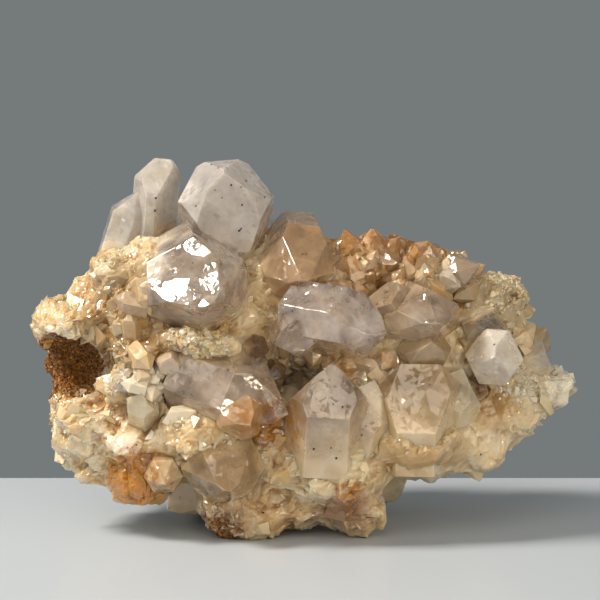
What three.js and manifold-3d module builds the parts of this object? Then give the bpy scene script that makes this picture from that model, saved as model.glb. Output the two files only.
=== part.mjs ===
// Golden healer quartz cluster: one grown-together solid of quartz points on a massive, iron-stained base.
// Millimetres, +Z up, origin at the centre of the bottom of its box. The showing side faces -Y.
import * as THREE from 'three';
import { ConvexGeometry } from 'three/addons/geometries/ConvexGeometry.js';
import { mergeVertices } from 'three/addons/utils/BufferGeometryUtils.js';
import Module from 'manifold-3d';

const wasm = await Module();
wasm.setup();

// Driving dimensions (mm, degrees). Pairs are the smallest and the largest of a range.
const endFaceTilt = 51.8; // between a quartz end face's normal and the axis of its point
const endFaceStep = 0.22; // how far a small end face stands back, as a share of the radius
const groundHeight = 0;
const groundBlock = 200;
const lumpRadius = [3, 7];
const lumpCount = 34;
const backLumpRadius = [5, 9];
const backLumpCount = 30;
const stubRadius = [1.8, 3.4];
const stubCount = 18;
const backPointRadius = [3.6, 6];
const backPointCount = 10;
const clusterColour = '#c9b690';

// How the skin of lumps and short points is laid out
const lumpDepth = 0.74; // share of its radius that a lump's centre lies under the skin
const lumpWidth = [0.9, 1.3];
const lumpHeight = [0.8, 1.1];
const lumpCorners = 10;
const stubLean = 0.55;
const stubLength = 3.4; // in radii
const stubRise = [0.2, 0.7]; // in radii
const smallEnd = [0.3, 1];
const largeEnd = [0, 0.6];
const pointFacing = -0.3; // the least y of the way that the skin faces, where a short point may stand
const backFacing = 0.35;
const lowestPlace = 4;
const largestFace = 520;
const buriedShare = 0.97; // of a block's size, within which a place counts as buried
const hollowShare = 1.35; // of a hollow's size, within which a place counts as hollowed out
const layoutSeed = 2718;
const lumpSeed = 1000;
const backLumpSeed = 2000;

// How a broken block's corners are spread
const cornerJitter = [-0.5, 0.5];
const turnJitter = [-0.25, 0.25];
const outwardShare = 0.4; // of its roughness, by which a corner may stand out

// Working limits
const weldDistance = 1e-4;
const planeSlack = 1e-5;
const steepAxis = 0.8;
const up = new THREE.Vector3(0, 0, 1);
const away = new THREE.Vector3(0, 1, 0);

// A repeatable stream of numbers from 0 to 1
function makeRandom(seed) {
  let state = seed >>> 0;
  return () => {
    state = (Math.imul(state, 1664525) + 1013904223) >>> 0;
    return state / 4294967296;
  };
}

function within(random, [low, high]) {
  return low + (high - low) * random();
}

function randomDirection(random) {
  const z = within(random, [-1, 1]);
  const turn = within(random, [0, 2 * Math.PI]);
  const flat = Math.sqrt(1 - z * z);
  return new THREE.Vector3(flat * Math.cos(turn), flat * Math.sin(turn), z);
}

// Closed, welded geometry to a solid that can be joined and cut
function toSolid(geometry) {
  const bare = geometry.clone();
  bare.deleteAttribute('normal');
  bare.deleteAttribute('uv');
  const welded = mergeVertices(bare, weldDistance);
  return new wasm.Manifold(new wasm.Mesh({
    numProp: 3,
    vertProperties: new Float32Array(welded.attributes.position.array),
    triVerts: new Uint32Array(welded.index.array),
  }));
}

function toGeometry(solid) {
  const mesh = solid.getMesh();
  const geometry = new THREE.BufferGeometry();
  geometry.setAttribute('position', new THREE.BufferAttribute(mesh.vertProperties, 3));
  geometry.setIndex(new THREE.BufferAttribute(mesh.triVerts, 1));
  return geometry;
}

// The point where three planes meet, or null where they run along each other
function meetingPoint(a, b, c) {
  const acrossC = new THREE.Vector3().crossVectors(a.normal, b.normal);
  const acrossA = new THREE.Vector3().crossVectors(b.normal, c.normal);
  const acrossB = new THREE.Vector3().crossVectors(c.normal, a.normal);
  const volume = acrossC.dot(c.normal);
  if (Math.abs(volume) < planeSlack) return null;
  acrossC.multiplyScalar(c.offset);
  acrossC.addScaledVector(acrossA, a.offset);
  acrossC.addScaledVector(acrossB, b.offset);
  return acrossC.divideScalar(volume);
}

// The corner points of the convex space that lies behind every plane of a list
function cornersOf(planes) {
  const corners = [];
  for (let a = 0; a < planes.length; a += 1) {
    for (let b = a + 1; b < planes.length; b += 1) {
      for (let c = b + 1; c < planes.length; c += 1) {
        const point = meetingPoint(planes[a], planes[b], planes[c]);
        const isBehind = (plane) => plane.normal.dot(point) <= plane.offset + planeSlack;
        if (point && planes.every(isBehind)) corners.push(point);
      }
    }
  }
  return corners;
}

// A quartz point: six prism sides round an axis, six end faces that meet near the tip, and a flat root.
// Sides are scaled one by one, and each end face stands back by its own number of steps.
const evenSides = [1, 1, 1, 1, 1, 1];
const turnAboutEnds = [0, 1, 0, 1, 0, 1];

function crystal({ tip, axis, radius, length, roll = 0, sides = evenSides, ends = turnAboutEnds }) {
  const along = new THREE.Vector3(...axis).normalize();
  const top = new THREE.Vector3(...tip);
  const reference = Math.abs(along.z) > steepAxis ? away : up;
  const v = reference.clone().addScaledVector(along, -reference.dot(along)).normalize();
  const u = new THREE.Vector3().crossVectors(v, along);
  const tilt = THREE.MathUtils.degToRad(endFaceTilt);
  const planes = [{ normal: along.clone().negate(), offset: length - along.dot(top) }];
  for (let side = 0; side < 6; side += 1) {
    const turn = THREE.MathUtils.degToRad(roll + 60 * side);
    const normal = u.clone().multiplyScalar(Math.cos(turn)).addScaledVector(v, Math.sin(turn));
    const end = along.clone().multiplyScalar(Math.cos(tilt)).addScaledVector(normal, Math.sin(tilt));
    planes.push({ normal, offset: normal.dot(top) + radius * sides[side] });
    planes.push({ normal: end, offset: end.dot(top) + radius * endFaceStep * ends[side] });
  }
  return new ConvexGeometry(cornersOf(planes));
}

// A broken block of massive quartz: a convex stone with uneven corners, spread evenly round an ellipsoid
function boulder({ at, size, turn = [0, 0, 0], seed = 1, corners = 16, rough = 0.12 }) {
  const random = makeRandom(seed);
  const rotation = new THREE.Euler(...turn.map((angle) => THREE.MathUtils.degToRad(angle)));
  const goldenTurn = Math.PI * (3 - Math.sqrt(5));
  const start = within(random, [0, 2 * Math.PI]);
  const points = [];
  for (let corner = 0; corner < corners; corner += 1) {
    const z = 1 - (2 * corner + 1) / corners + within(random, cornerJitter) / corners;
    const flat = Math.sqrt(Math.max(0, 1 - z * z));
    const angle = start + corner * goldenTurn + within(random, turnJitter);
    const reach = within(random, [1 - rough, 1 + rough * outwardShare]);
    const point = new THREE.Vector3(flat * Math.cos(angle), flat * Math.sin(angle), z);
    point.multiply(new THREE.Vector3(...size)).multiplyScalar(reach);
    point.applyEuler(rotation).add(new THREE.Vector3(...at));
    points.push(point);
  }
  return new ConvexGeometry(points);
}

// Massive quartz base, from the left wall to the right tip. Half sizes.
const baseBlocks = {
  leftShoulder: { at: [-34, 0, 38], size: [17, 18, 16.5], seed: 11 },
  leftRim: { at: [-46.4, -3, 40.8], size: [9, 12, 6.6], seed: 12, corners: 20 },
  leftFoot: { at: [-33, -3, 19.5], size: [17, 16.5, 13.5], seed: 13 },
  leftTail: { at: [-44, -3, 25], size: [7.5, 13, 9], seed: 14 },
  pitBack: { at: [-43.5, 3.5, 33], size: [10, 10, 9], seed: 74, corners: 20 },
  heart: { at: [-12, 0, 37], size: [23, 19, 22], seed: 15 },
  middle: { at: [6, 1, 36], size: [21, 18, 21], seed: 16 },
  lowMiddle: { at: [-8, -5, 17], size: [26, 18, 16], seed: 17 },
  frontField: { at: [-2, -6, 24], size: [28, 16, 16], seed: 29, corners: 22 },
  rightMass: { at: [22, 0, 36], size: [20, 17, 19], seed: 18 },
  rightShoulder: { at: [35, 1, 42], size: [10, 13, 9.5], seed: 19 },
  rightWing: { at: [37, 1, 28], size: [13, 14, 15], seed: 20 },
  rightTip: { at: [49, 2, 27], size: [6, 8, 5.5], seed: 21 },
  lowRight: { at: [15, -5, 20.5], size: [17, 17, 12], seed: 22 },
  lowFarRight: { at: [31, -4, 19], size: [13, 13, 9.5], seed: 23 },
  backRight: { at: [20, 14, 31], size: [22, 14, 20], seed: 24 },
  backMiddle: { at: [-6, 15, 33], size: [24, 14.5, 22], seed: 25 },
  backLeft: { at: [-30, 10, 30], size: [19, 15, 20], seed: 26 },
  frontLeftFoot: { at: [-10.5, -12.5, 5], size: [11, 8, 7], seed: 27, corners: 22 },
  frontRightFoot: { at: [10.5, -12.5, 6], size: [7, 7, 8], seed: 71, corners: 22 },
  rearFoot: { at: [-6, 7, 9], size: [26, 16, 12.5], seed: 30, corners: 20 },
  lowBackLeft: { at: [-26, 8, 16], size: [15, 15, 12], seed: 72 },
  lowBackRight: { at: [19, 8, 18], size: [17, 15, 13], seed: 73 },
};

// Blocks, slabs and ledges on the showing side, and one block that fills the joint behind them
const ledges = {
  jointFill: { at: [-14, 8.5, 20.5], size: [5, 5, 5], seed: 75, corners: 12 },
  tanSlab: { at: [-37, -10, 50.5], size: [4.6, 7, 6.2], turn: [0, 25, 0], seed: 31, corners: 12 },
  yellowWedge: { at: [-29, -8, 56], size: [7.5, 6, 2.8], turn: [0, -6, 0], seed: 32, corners: 12 },
  whiteRidge: { at: [-31, -16, 33], size: [6.5, 6, 9.5], turn: [0, -12, 0], seed: 33 },
  goldenField: { at: [-33, -12, 43.5], size: [7.5, 7.5, 6.5], turn: [0, 20, 0], seed: 34 },
  pitWall: { at: [-36, -16, 31.5], size: [3.4, 5.5, 6], seed: 35, corners: 14 },
  pitSill: { at: [-43, -14, 23], size: [7.5, 6, 4.4], turn: [0, 12, 0], seed: 55, corners: 14 },
  pitLintel: { at: [-45, -12, 42], size: [8.5, 6, 4], turn: [0, -14, 0], seed: 56, corners: 14 },
  whiteTop: { at: [-34, -18, 18.5], size: [4.4, 4, 3.6], seed: 36, corners: 14 },
  stainBelly: { at: [-32, -12, 11.5], size: [9, 8.5, 7], seed: 37 },
  leftKnob: { at: [-44.5, -10, 19], size: [5.5, 6, 6], seed: 38 },
  leftKnobLow: { at: [-42, -9, 13], size: [5, 6, 4.5], seed: 39 },
  windowShelf: { at: [-20.5, -19.5, 38.6], size: [10, 5.8, 3.6], turn: [0, 4, 0], seed: 76, corners: 14 },
  windowBack: { at: [-29, -13, 49], size: [8, 8.5, 8.5], seed: 78, corners: 14 },
  middleFoot: { at: [0.5, -11.5, 6.5], size: [9, 8, 6.5], seed: 77, corners: 14 },
  brokenSheet: { at: [-20, -19, 21.5], size: [11, 6, 7], turn: [0, -10, 0], seed: 40, corners: 14 },
  greenLens: { at: [-3.5, -21.5, 13.5], size: [3, 4, 4], turn: [0, 20, 0], seed: 41, corners: 14 },
  granules: { at: [-15, -18, 8], size: [6, 4, 4.5], seed: 42 },
  footChunk: { at: [8.5, -14.5, 6.5], size: [7, 5.5, 6.5], turn: [0, 12, 0], seed: 43, corners: 14 },
  lowRightSwell: { at: [25, -12, 17.5], size: [11, 8, 7], seed: 44 },
  lowRightEdge: { at: [34.5, -7, 15.5], size: [6.5, 7, 6.5], seed: 58, corners: 14 },
  lowBump: { at: [24.5, -12.5, 11.5], size: [2.2, 3, 2.2], seed: 45, corners: 14 },
  underPoints: { at: [5, -17, 15], size: [13, 9.5, 9.5], seed: 46, corners: 22 },
  underSmooth: { at: [21, -15.5, 19], size: [11, 9, 8], seed: 57, corners: 22 },
  rightCream: { at: [42, -6, 24.5], size: [8, 8, 7.5], seed: 47 },
  rightTipTop: { at: [52.3, 0, 28.5], size: [3.2, 5, 4.2], seed: 48, corners: 14 },
  shoulderCream: { at: [38, -5, 46], size: [7, 7, 6.5], seed: 49 },
  shoulderEdge: { at: [42, -2, 42.5], size: [3.2, 6, 5.5], seed: 50, corners: 14 },
  topSaddle: { at: [12, -1, 51.5], size: [12, 9, 6.5], seed: 51 },
  topRight: { at: [26, -2, 49.5], size: [9, 9, 5.5], seed: 52 },
  behindPoints: { at: [-22, 5, 53], size: [15, 11, 8], seed: 53 },
  leftCrown: { at: [-37, 0, 52], size: [6, 8, 5], seed: 54 },
};

// The points that give the cluster its look
const points = {
  window: {
    tip: [-19.2, -27.5, 46.9], axis: [0.13, -0.96, -0.2], radius: 9.3, length: 24, roll: 60,
    sides: [0.9, 0.95, 1.0, 1.0, 0.95, 1.06], ends: [1.4, 0, 1.3, 0.35, 0.6, 1.3],
  },
  frosted: {
    tip: [-14.8, -14.5, 69.8], axis: [0.03, -0.87, 0.48], radius: 8.3, length: 22, roll: 35,
    sides: [1, 0.92, 1, 0.98, 1.2, 1], ends: [0.4, 0.9, 0.6, 1.1, 0, 1.1],
  },
  cloudy: {
    tip: [-28.6, 2.5, 73.4], axis: [0.1, -0.14, 0.98], radius: 5.6, length: 26, roll: 30,
    sides: [0.82, 0.9, 0.72, 0.75, 1, 0.55], ends: [1.4, 0, 0.6, 0.5, 0, 1.3],
  },
  glassyShard: {
    tip: [-32.6, 2.5, 67.2], axis: [0.3, -0.12, 0.93], radius: 3.8, length: 18, roll: 12,
    sides: [1, 1, 1, 1.1, 1, 1], ends: [0, 1, 0, 0, 0.6, 0.3],
  },
  ochre: {
    tip: [0.2, -18, 50.4], axis: [0.1, -0.96, -0.18], radius: 6.9, length: 22, roll: 24,
    sides: [1.0, 1.24, 1, 0.95, 1, 1], ends: [0.6, 0.2, 0.4, 1, 0, 0.3],
  },
  lilac: {
    tip: [15.6, -24, 41.3], axis: [0.85, -0.52, -0.1], radius: 6.6, length: 20, roll: 8,
    sides: [1, 0.95, 1, 1, 0.72, 1], ends: [0, 0.8, 0, 0.8, 0.2, 0.8],
  },
  mauve: {
    tip: [-5.4, -22.5, 38.6], axis: [-0.62, -0.72, -0.3], radius: 4.4, length: 15, roll: 10,
  },
  rimmed: {
    tip: [25.6, -22.5, 42.6], axis: [0.34, -0.9, -0.1], radius: 6.4, length: 20, roll: 4,
    sides: [1.2, 0.8, 0.75, 1.25, 0.85, 0.9], ends: [1, 0.2, 0.4, 1.1, 0.2, 0.5],
  },
  rimmedNeighbour: {
    tip: [16.6, -19.5, 46.2], axis: [-0.1, -0.9, 0.3], radius: 5.2, length: 14, roll: 10,
  },
  streaky: {
    tip: [36.6, -13.6, 43.2], axis: [0.1, -0.86, 0.44], radius: 4.5, length: 15, roll: 14,
    sides: [1.1, 1, 1, 1.1, 1.2, 1],
  },
  white: {
    tip: [36.4, -18.5, 36], axis: [-0.1, -0.96, 0.14], radius: 4.9, length: 15, roll: 26,
    sides: [1, 1.1, 1, 1, 1.1, 1], ends: [0.4, 1, 0.2, 1, 0.4, 1.2],
  },
  farRight: {
    tip: [47.6, -7, 35.4], axis: [0.36, -0.84, 0.36], radius: 4.2, length: 14, roll: 12,
  },
  edgeRight: {
    tip: [48.6, -1.5, 39.6], axis: [0.56, -0.4, 0.66], radius: 4.4, length: 14, roll: 40,
  },
  milkyTip: {
    tip: [5.6, -22.5, 35.4], axis: [0.05, -0.2, 0.97], radius: 7.3, length: 21, roll: 30,
    sides: [0.95, 1, 1, 1, 0.95, 0.9], ends: [0, 0.9, 0, 0.95, 0, 1.0],
  },
  milkySide: {
    tip: [13.4, -19.5, 31.6], axis: [0.24, -0.3, 0.92], radius: 6, length: 20, roll: 22,
    ends: [0.2, 1, 0, 1, 0, 0.7],
  },
  smoothMilky: {
    tip: [22.4, -18.6, 34.6], axis: [0.02, -0.3, 0.95], radius: 8.4, length: 20, roll: 30,
    sides: [0.8, 1, 0.9, 0.95, 1, 0.8], ends: [1.5, 0, 1.3, 1.4, 0, 1.4],
  },
  smoothNeighbour: {
    tip: [24.4, -20.5, 39], axis: [0.16, -0.88, 0.3], radius: 4.6, length: 15, roll: 30,
  },
  paleRight: {
    tip: [30.6, -16.5, 33.4], axis: [0.22, -0.5, 0.83], radius: 5, length: 18, roll: 18,
  },
  lilacSheen: {
    tip: [-2.8, -23, 25.6], axis: [0.86, -0.44, -0.27], radius: 7.6, length: 23, roll: 42,
    sides: [1, 0.9, 1.05, 1, 1, 1], ends: [0, 0.4, 0.1, 0.9, 0.1, 0.5],
  },
  tanBehind: {
    tip: [-6.6, -19.5, 35], axis: [0.86, -0.48, 0.08], radius: 4.4, length: 17, roll: 20,
  },
  orangeShard: {
    tip: [-9.9, -29, 24.3], axis: [0.3, -0.93, -0.16], radius: 4, length: 10, roll: 0,
    sides: [0.85, 1, 1, 1.1, 1, 1],
  },
  brownFacet: {
    tip: [-14.2, -26, 13.2], axis: [0.1, -0.93, -0.28], radius: 7, length: 15, roll: 30,
    sides: [1, 0.75, 1, 1.1, 0.8, 1], ends: [1.0, 0, 1.0, 1.2, 1.2, 1.2],
  },
  hexFacet: {
    tip: [-26.6, -22.5, 12.4], axis: [0.05, -0.97, -0.2], radius: 3.3, length: 12, roll: 30,
    ends: [0.9, 1, 0.9, 1, 0.9, 1],
  },
  gapStub: {
    tip: [-8.4, -21, 38.6], axis: [0.2, -0.9, 0.3], radius: 2.3, length: 10, roll: 15,
  },
  gapStubLow: {
    tip: [-5.2, -19, 34.6], axis: [0.1, -0.8, 0.5], radius: 2.1, length: 9, roll: 40,
  },
  sparkStub: {
    tip: [-25, -22.5, 36.4], axis: [0.1, -0.9, 0.4], radius: 2.6, length: 9, roll: 20,
  },
  pocketStub: {
    tip: [33.4, -12.2, 30.6], axis: [-0.2, -0.8, 0.5], radius: 2, length: 8, roll: 10,
  },
  ridgeStub: {
    tip: [-30.6, -22.4, 29.4], axis: [0, -0.8, 0.6], radius: 3, length: 10, roll: 5,
  },
};

// Hollows between the points. The rust pit opens to the front and to the left edge.
const hollows = {
  rustPit: { at: [-47, -15, 33.4], size: [9.6, 14, 7], turn: [0, 4, 0], seed: 61, corners: 22, rough: 0.1 },
  rustPitSide: { at: [-40.5, -17, 34.4], size: [5.4, 10, 5.2], seed: 62, corners: 16, rough: 0.1 },
  rustTail: { at: [-46, -18, 28], size: [3.2, 6, 5], turn: [0, 10, 0], seed: 63, corners: 16, rough: 0.1 },
  centreCave: { at: [-0.8, -17, 31.6], size: [5.8, 10, 5.4], seed: 64, corners: 18, rough: 0.1 },
  rightPocket: { at: [33.6, -13.5, 28.2], size: [3.6, 6, 3.1], seed: 65, corners: 16, rough: 0.1 },
  footArch: { at: [2.4, -17, 1.2], size: [4.2, 9, 3.4], seed: 66, corners: 16, rough: 0.1 },
};

// True where a point lies within an ellipsoid grown or shrunk by a factor
function liesIn({ at, size }, point, factor) {
  const dx = (point.x - at[0]) / size[0];
  const dy = (point.y - at[1]) / size[1];
  const dz = (point.z - at[2]) / size[2];
  return dx * dx + dy * dy + dz * dz < factor * factor;
}

// A chance place on the skin of the base, away from the hollows, with the way that it faces
function placeOnBase(random, fits = () => true) {
  const blocks = Object.values(baseBlocks);
  for (;;) {
    const block = blocks[Math.floor(random() * blocks.length)];
    const chosen = random() < (block.size[0] * block.size[2]) / largestFace;
    const way = randomDirection(random);
    const size = new THREE.Vector3(...block.size);
    const place = way.clone().multiply(size).add(new THREE.Vector3(...block.at));
    const facing = way.clone().divide(size).normalize();
    const buried = blocks.some((other) => other !== block && liesIn(other, place, buriedShare));
    const hollowed = Object.values(hollows).some((hollow) => liesIn(hollow, place, hollowShare));
    const free = !buried && !hollowed && place.z > lowestPlace;
    if (chosen && free && fits(facing)) return { place, facing };
  }
}

// Lumps of massive quartz set shallowly in the skin, so that no side is bare
function lumps(random, { count, radii, firstSeed, fits }) {
  const made = [];
  for (let lump = 0; lump < count; lump += 1) {
    const { place, facing } = placeOnBase(random, fits);
    const radius = within(random, radii);
    place.addScaledVector(facing, -radius * lumpDepth);
    made.push(boulder({
      at: place.toArray(),
      size: [radius * within(random, lumpWidth), radius, radius * within(random, lumpHeight)],
      turn: [within(random, [0, 180]), within(random, [0, 180]), 0],
      seed: firstSeed + lump,
      corners: lumpCorners,
    }));
  }
  return made;
}

// Short points that stand out of the skin, their axes near the way that the skin faces
function stubs(random, { count, radii }) {
  const made = [];
  for (let stub = 0; stub < count; stub += 1) {
    const { place, facing } = placeOnBase(random, (way) => way.y > pointFacing);
    const lean = randomDirection(random).multiplyScalar(stubLean);
    const axis = facing.clone().add(lean).normalize();
    const radius = within(random, radii);
    place.addScaledVector(axis, radius * within(random, stubRise));
    made.push(crystal({
      tip: place.toArray(),
      axis: axis.toArray(),
      radius,
      length: radius * stubLength,
      roll: within(random, [0, 60]),
      ends: [0, within(random, smallEnd), 0, within(random, smallEnd), within(random, largeEnd), 1],
    }));
  }
  return made;
}

function joinAll(geometries) {
  return geometries.map(toSolid).reduce((whole, next) => whole.add(next));
}

function buildCluster() {
  const random = makeRandom(layoutSeed);
  const base = [...Object.values(baseBlocks), ...Object.values(ledges)].map(boulder);
  const backLumps = {
    count: backLumpCount,
    radii: backLumpRadius,
    firstSeed: backLumpSeed,
    fits: (way) => way.y > backFacing,
  };
  const skin = [
    ...lumps(random, { count: lumpCount, radii: lumpRadius, firstSeed: lumpSeed }),
    ...lumps(random, backLumps),
    ...stubs(random, { count: stubCount, radii: stubRadius }),
    ...stubs(random, { count: backPointCount, radii: backPointRadius }),
  ];
  let solid = joinAll([...base, ...skin]);
  for (const hollow of Object.values(hollows)) solid = solid.subtract(toSolid(boulder(hollow)));
  solid = solid.add(joinAll(Object.values(points).map(crystal)));

  // The cluster stands on its own broken foot, ground off flat
  const ground = new THREE.BoxGeometry(groundBlock, groundBlock, groundBlock);
  ground.translate(0, 0, groundHeight - groundBlock / 2);
  return toGeometry(solid.subtract(toSolid(ground)));
}

const geometry = buildCluster();
geometry.computeBoundingBox();
const box = geometry.boundingBox;
geometry.translate(-(box.min.x + box.max.x) / 2, -(box.min.y + box.max.y) / 2, -box.min.z);
geometry.computeVertexNormals();

const quartz = new THREE.MeshStandardMaterial({ color: clusterColour, roughness: 0.35, metalness: 0 });
const cluster = new THREE.Mesh(geometry, quartz);
cluster.name = 'quartz_cluster';

const group = new THREE.Group();
group.add(cluster);

export default group;
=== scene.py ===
import itertools
import math
import bmesh
import bpy
import numpy as np
from mathutils import Euler, Matrix, Vector
from mathutils.bvhtree import BVHTree


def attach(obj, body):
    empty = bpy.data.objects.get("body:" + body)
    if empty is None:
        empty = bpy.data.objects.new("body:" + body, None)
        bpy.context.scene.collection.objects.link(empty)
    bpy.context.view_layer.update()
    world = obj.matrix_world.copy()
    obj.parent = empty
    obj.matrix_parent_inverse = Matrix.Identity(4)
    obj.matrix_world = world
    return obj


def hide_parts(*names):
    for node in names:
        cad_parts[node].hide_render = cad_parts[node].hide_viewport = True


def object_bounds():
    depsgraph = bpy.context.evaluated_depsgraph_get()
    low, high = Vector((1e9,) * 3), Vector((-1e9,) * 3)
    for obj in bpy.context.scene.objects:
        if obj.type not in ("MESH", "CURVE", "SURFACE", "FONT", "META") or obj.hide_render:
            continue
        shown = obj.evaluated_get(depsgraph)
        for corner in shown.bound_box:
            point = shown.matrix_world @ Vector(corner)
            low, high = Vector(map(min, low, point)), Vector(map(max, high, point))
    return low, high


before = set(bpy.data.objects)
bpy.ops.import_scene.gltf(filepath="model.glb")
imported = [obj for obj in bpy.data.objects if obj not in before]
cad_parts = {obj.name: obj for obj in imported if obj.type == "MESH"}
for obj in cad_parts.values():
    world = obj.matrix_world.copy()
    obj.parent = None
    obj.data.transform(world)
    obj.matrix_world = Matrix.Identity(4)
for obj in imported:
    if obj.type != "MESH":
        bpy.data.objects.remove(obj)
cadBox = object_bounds()

# Shapes are worked out in millimetres, in the lists' own place, and go into the frame at the end.
millimetre = 0.001
listToFrame = np.array((0.0, -0.77, 0.0))  # the shift that centres the cluster, in mm
boxGap = 0.01  # mm: nothing is built nearer than this to the sides of the solid's box
lowest = np.array(cadBox[0]) / millimetre - listToFrame + boxGap
highest = np.array(cadBox[1]) / millimetre - listToFrame - boxGap
print("frame loaded")


def stone(at, size, seed, corners=16, turn=0):
    return dict(at=at, size=size, turn=(0, turn, 0), seed=seed, corners=corners)


def stones(**rows):  # place, half sizes in mm, seed, how many corners, degrees about y
    return {name: stone(*row) for name, row in rows.items()}


# Massive quartz base, from the left wall to the right tip
baseBlocks = stones(
    leftShoulder=((-34, 0, 38), (17, 18, 16.5), 11),
    leftRim=((-46.4, -3, 40.8), (9, 12, 6.6), 12, 20),
    leftFoot=((-33, -3, 19.5), (17, 16.5, 13.5), 13),
    leftTail=((-44, -3, 25), (7.5, 13, 9), 14),
    pitBack=((-43.5, 3.5, 33), (10, 10, 9), 74, 20),
    heart=((-12, 0, 37), (23, 19, 22), 15),
    middle=((6, 1, 36), (21, 18, 21), 16),
    lowMiddle=((-8, -5, 17), (26, 18, 16), 17),
    frontField=((-2, -6, 24), (28, 16, 16), 29, 22),
    rightMass=((22, 0, 36), (20, 17, 19), 18),
    rightShoulder=((35, 1, 42), (10, 13, 9.5), 19),
    rightWing=((37, 1, 28), (13, 14, 15), 20),
    rightTip=((49, 2, 27), (6, 8, 5.5), 21),
    lowRight=((15, -5, 20.5), (17, 17, 12), 22),
    lowFarRight=((31, -4, 19), (13, 13, 9.5), 23),
    backRight=((20, 14, 31), (22, 14, 20), 24),
    backMiddle=((-6, 15, 33), (24, 14.5, 22), 25),
    backLeft=((-30, 10, 30), (19, 15, 20), 26),
    frontLeftFoot=((-10.5, -12.5, 5), (11, 8, 7), 27, 22),
    frontRightFoot=((10.5, -12.5, 6), (7, 7, 8), 71, 22),
    rearFoot=((-6, 7, 9), (26, 16, 12.5), 30, 20),
    lowBackLeft=((-26, 8, 16), (15, 15, 12), 72),
    lowBackRight=((19, 8, 18), (17, 15, 13), 73),
)

# Ledges, knobs and ridges on it
ledges = stones(
    jointFill=((-14, 8.5, 20.5), (5, 5, 5), 75, 12),
    tanSlab=((-37, -10, 50.5), (4.6, 7, 6.2), 31, 12, 25),
    yellowWedge=((-29, -8, 56), (7.5, 6, 2.8), 32, 12, -6),
    whiteRidge=((-31, -16, 33), (6.5, 6, 9.5), 33, 16, -12),
    goldenField=((-33, -12, 43.5), (7.5, 7.5, 6.5), 34, 16, 20),
    pitWall=((-36, -16, 31.5), (3.4, 5.5, 6), 35, 14),
    pitSill=((-43, -14, 23), (7.5, 6, 4.4), 55, 14, 12),
    pitLintel=((-45, -12, 42), (8.5, 6, 4), 56, 14, -14),
    whiteTop=((-34, -18, 18.5), (4.4, 4, 3.6), 36, 14),
    stainBelly=((-32, -12, 11.5), (9, 8.5, 7), 37),
    leftKnob=((-44.5, -10, 19), (5.5, 6, 6), 38),
    leftKnobLow=((-42, -9, 13), (5, 6, 4.5), 39),
    windowShelf=((-20.5, -19.5, 38.6), (10, 5.8, 3.6), 76, 14, 4),
    windowBack=((-29, -13, 49), (8, 8.5, 8.5), 78, 14),
    middleFoot=((0.5, -11.5, 6.5), (9, 8, 6.5), 77, 14),
    brokenSheet=((-20, -19, 21.5), (11, 6, 7), 40, 14, -10),
    greenLens=((-3.5, -21.5, 13.5), (3, 4, 4), 41, 14, 20),
    granules=((-15, -18, 8), (6, 4, 4.5), 42),
    footChunk=((8.5, -14.5, 6.5), (7, 5.5, 6.5), 43, 14, 12),
    lowRightSwell=((25, -12, 17.5), (11, 8, 7), 44),
    lowRightEdge=((34.5, -7, 15.5), (6.5, 7, 6.5), 58, 14),
    lowBump=((24.5, -12.5, 11.5), (2.2, 3, 2.2), 45, 14),
    underPoints=((5, -17, 15), (13, 9.5, 9.5), 46, 22),
    underSmooth=((21, -15.5, 19), (11, 9, 8), 57, 22),
    rightCream=((42, -6, 24.5), (8, 8, 7.5), 47),
    rightTipTop=((52.3, 0, 28.5), (3.2, 5, 4.2), 48, 14),
    shoulderCream=((38, -5, 46), (7, 7, 6.5), 49),
    shoulderEdge=((42, -2, 42.5), (3.2, 6, 5.5), 50, 14),
    topSaddle=((12, -1, 51.5), (12, 9, 6.5), 51),
    topRight=((26, -2, 49.5), (9, 9, 5.5), 52),
    behindPoints=((-22, 5, 53), (15, 11, 8), 53),
    leftCrown=((-37, 0, 52), (6, 8, 5), 54),
)

# What is missing from it, with smoother walls
hollowRough = 0.1
hollows = stones(
    rustPit=((-47, -15, 33.4), (9.6, 14, 7), 61, 22, 4),
    rustPitSide=((-40.5, -17, 34.4), (5.4, 10, 5.2), 62, 16),
    rustTail=((-46, -18, 28), (3.2, 6, 5), 63, 16, 10),
    centreCave=((-0.8, -17, 31.6), (5.8, 10, 5.4), 64, 18),
    rightPocket=((33.6, -13.5, 28.2), (3.6, 6, 3.1), 65, 16),
    footArch=((2.4, -17, 1.2), (4.2, 9, 3.4), 66, 16),
)


# Tip, axis, radius, length and roll, in mm and degrees. sides: how far out each side stands, in radii.
# ends: how far each end face is set back.
def crystal(tip, axis, radius, length, roll, sides=(1,) * 6, ends=(0, 1, 0, 1, 0, 1)):
    return dict(tip=tip, axis=axis, radius=radius, length=length, roll=roll, sides=sides, ends=ends)


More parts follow.
